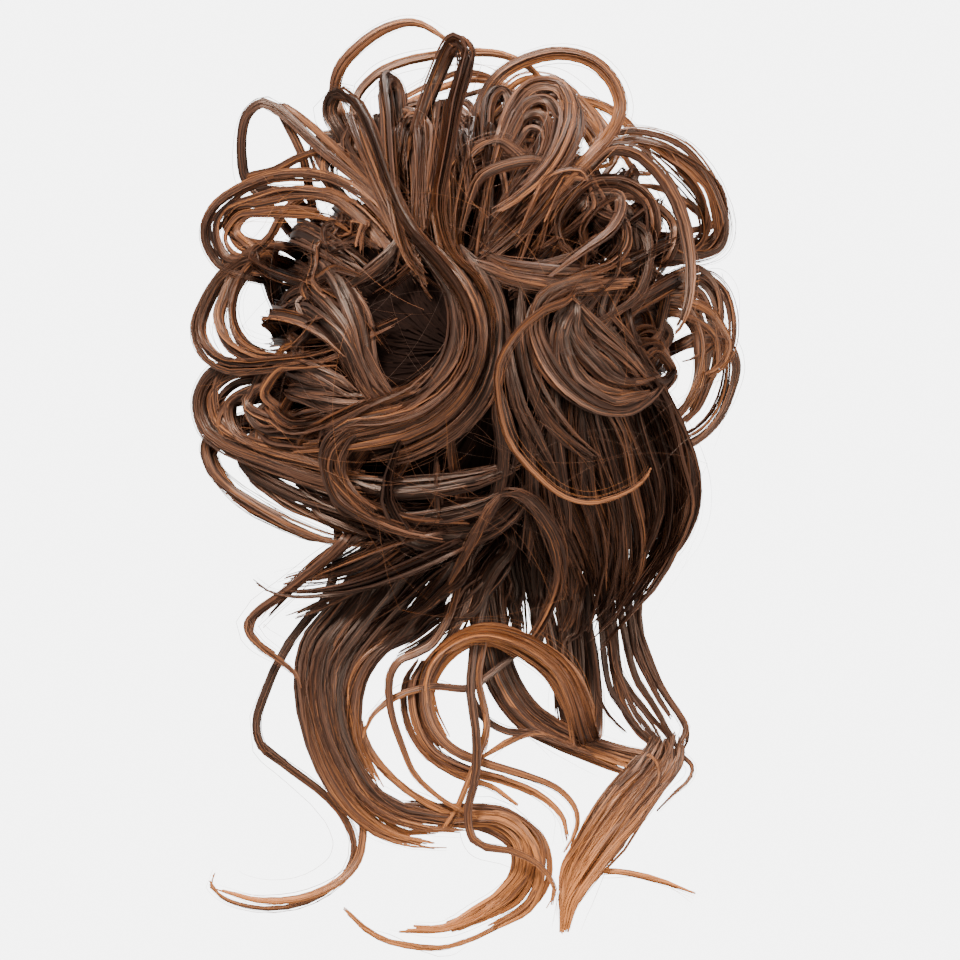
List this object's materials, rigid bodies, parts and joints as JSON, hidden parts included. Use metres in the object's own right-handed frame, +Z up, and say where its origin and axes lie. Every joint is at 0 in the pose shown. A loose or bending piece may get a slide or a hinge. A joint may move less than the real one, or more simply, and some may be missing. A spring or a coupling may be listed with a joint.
{
  "type": "top knot hairpiece",
  "caption": "Messy bun hairpiece: curled hair locks stitched round a covered elastic band, with loops round a swirled bun and long wavy tendrils hanging below.",
  "frame": {"origin": "centre of the elastic band, where the wearer's own bun or ponytail passes through it", "axes": "+Z up as worn in the picture, with the tendrils hanging towards -Z; +Y along the band's axis towards the wearer's head; the front of the bun faces -Y; +X to the right as seen from the front"},
  "size_m": [0.1834, 0.0802, 0.3061],
  "materials": {
    "elastic": "matte knitted cover",
    "binding": "matte woven tape",
    "hair_dark": "satin synthetic hair, dark brown",
    "hair_chestnut": "satin synthetic hair, chestnut with auburn highlights",
    "hair_copper": "satin synthetic hair, copper"
  },
  "bodies": {
    "root": {"elastic_band": "elastic", "weft_binding": "binding", "bun_core": "hair_dark", "crown_locks": "hair_chestnut", "upper_left_loops": "hair_chestnut", "left_loops": "hair_chestnut", "lower_left_loops": "hair_chestnut", "upper_right_loops": "hair_chestnut", "inner_right_curls": "hair_chestnut", "right_loops": "hair_chestnut", "front_curl": "hair_chestnut", "right_drape": "hair_dark", "golden_ribbon": "hair_copper", "lower_left_sweep": "hair_dark", "left_tendril": "hair_copper", "main_tendrils": "hair_dark", "inner_curls": "hair_copper", "center_tendrils": "hair_dark", "amber_curl": "hair_copper", "right_tendrils": "hair_copper"}
  },
  "joints": []
}
